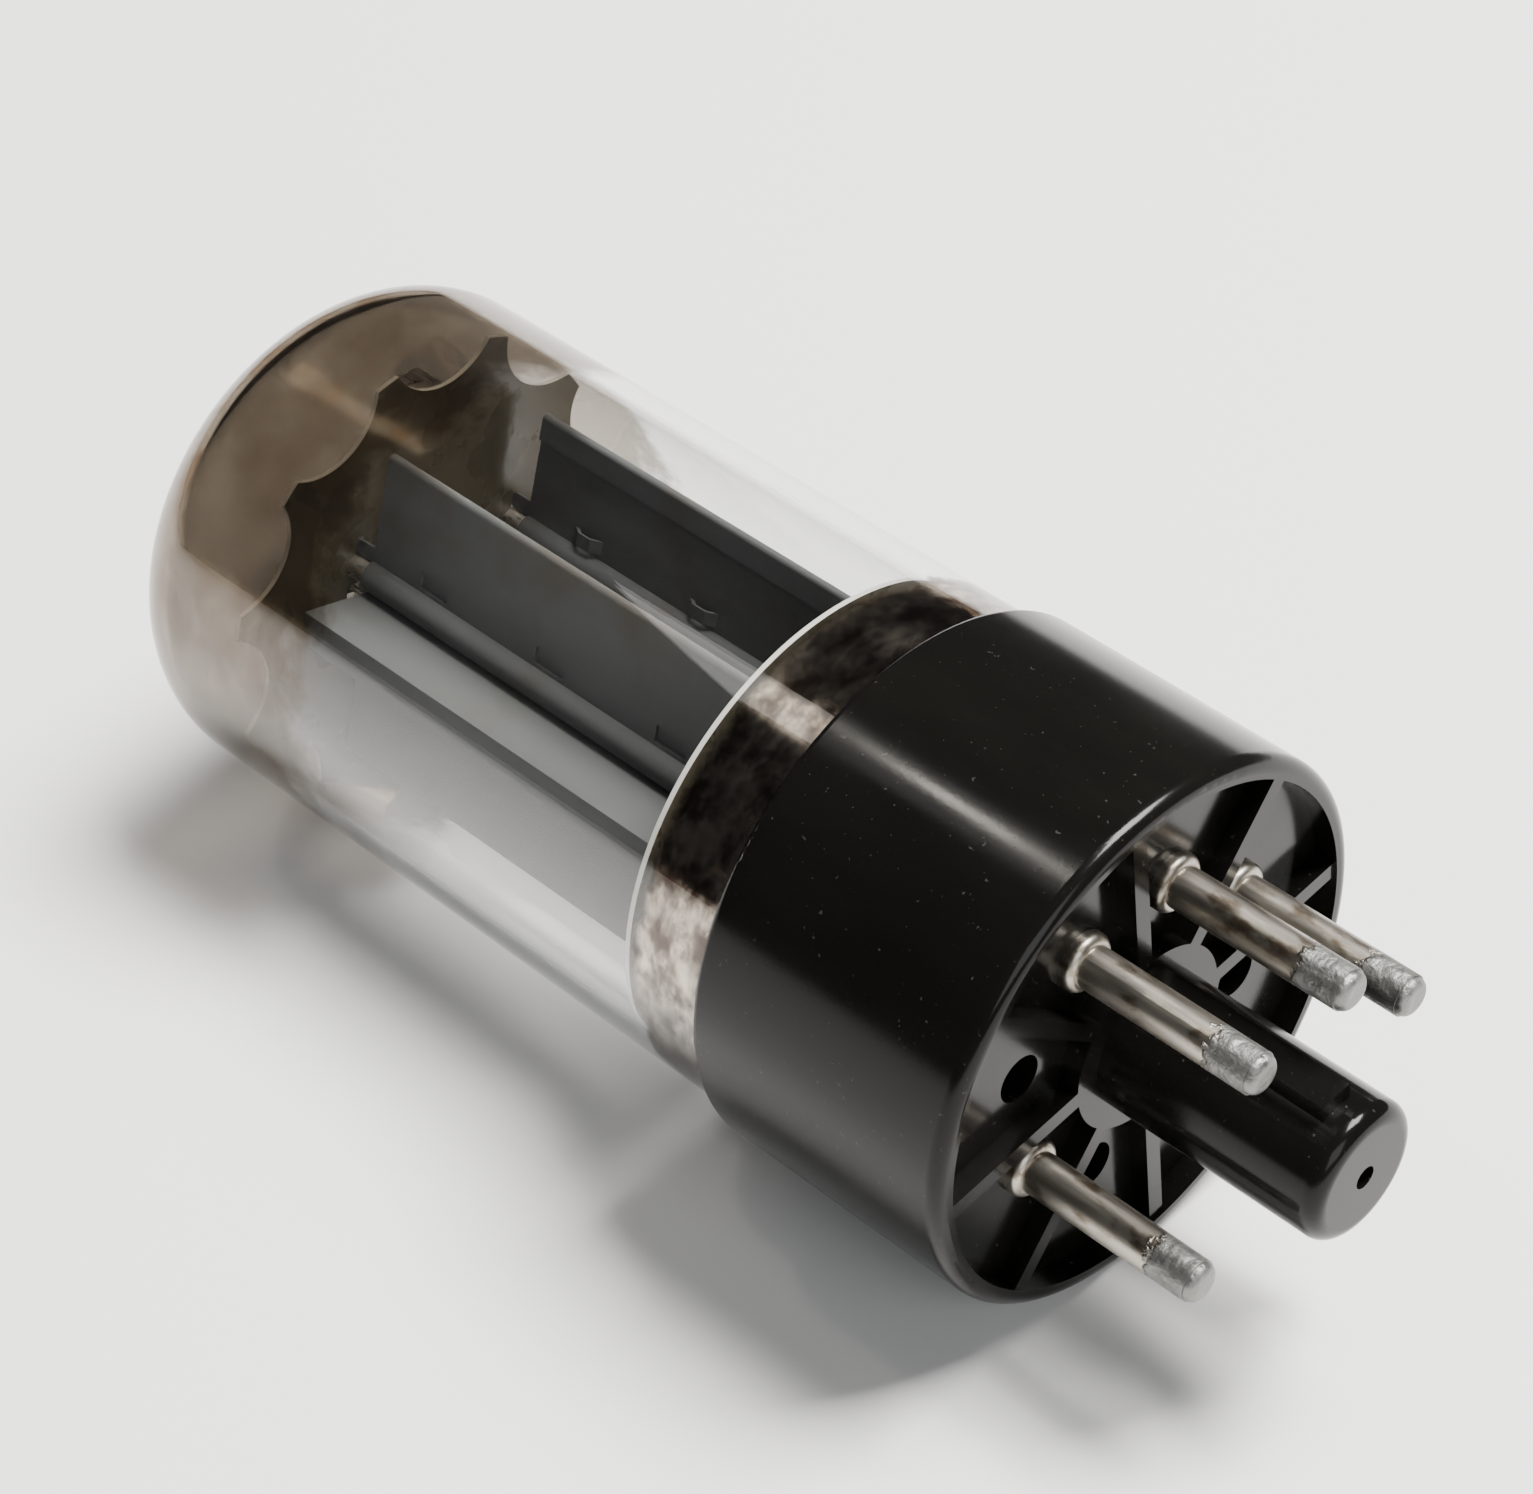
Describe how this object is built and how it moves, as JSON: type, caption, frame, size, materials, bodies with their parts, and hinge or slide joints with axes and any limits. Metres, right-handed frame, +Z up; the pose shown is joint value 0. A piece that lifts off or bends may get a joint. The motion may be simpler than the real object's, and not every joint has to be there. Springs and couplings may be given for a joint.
{
  "type": "vacuum tube",
  "caption": "Twin-anode full-wave rectifier vacuum tube with a straight glass bulb and a black five-pin octal base.",
  "frame": {"origin": "centre of the base's open rim (the seating plane), on the tube's axis", "axes": "+X along the tube's axis out of the pin end, +Z up with the tube lying on its side and its key 6.8 degrees from the top"},
  "size_m": [0.079, 0.0314, 0.0314],
  "materials": {
    "black_phenolic": "polished moulding",
    "plated_pin": "worn nickel plate",
    "solder": "dull solder",
    "bulb_glass": "clear, getter film at both ends",
    "stem_glass": "clear",
    "cement": "matte basing cement",
    "mica": "translucent sheet",
    "carbonised_nickel": "matte carbonised sheet",
    "bright_nickel": "bright nickel wire and strip",
    "oxide_coating": "white emitter coating",
    "lead_wire": "copper-clad wire"
  },
  "bodies": {
    "root": {"anode_4_inner_half": "carbonised_nickel", "anode_4_outer_half": "carbonised_nickel", "anode_4_rod_1": "bright_nickel", "anode_4_rod_2": "bright_nickel", "anode_4_stitches": "carbonised_nickel", "anode_6_inner_half": "carbonised_nickel", "anode_6_outer_half": "carbonised_nickel", "anode_6_rod_1": "bright_nickel", "anode_6_rod_2": "bright_nickel", "anode_6_stitches": "carbonised_nickel", "base_cement": "cement", "base_shell": "black_phenolic", "exhaust_tip": "stem_glass", "filament_4": "oxide_coating", "filament_4_hook": "bright_nickel", "filament_4_spring": "bright_nickel", "filament_6": "oxide_coating", "filament_6_hook": "bright_nickel", "filament_6_spring": "bright_nickel", "filament_link": "bright_nickel", "glass_envelope": "bulb_glass", "glass_stem": "stem_glass", "lead_2": "lead_wire", "lead_4": "lead_wire", "lead_6": "lead_wire", "lead_8": "lead_wire", "lower_getter_box": "bright_nickel", "lower_getter_wire": "bright_nickel", "lower_mica": "mica", "pin_1": "plated_pin", "pin_2": "plated_pin", "pin_4": "plated_pin", "pin_6": "plated_pin", "pin_8": "plated_pin", "pin_solder_tips": "solder", "upper_getter_box": "bright_nickel", "upper_getter_strap": "bright_nickel", "upper_mica": "mica"}
  },
  "joints": []
}
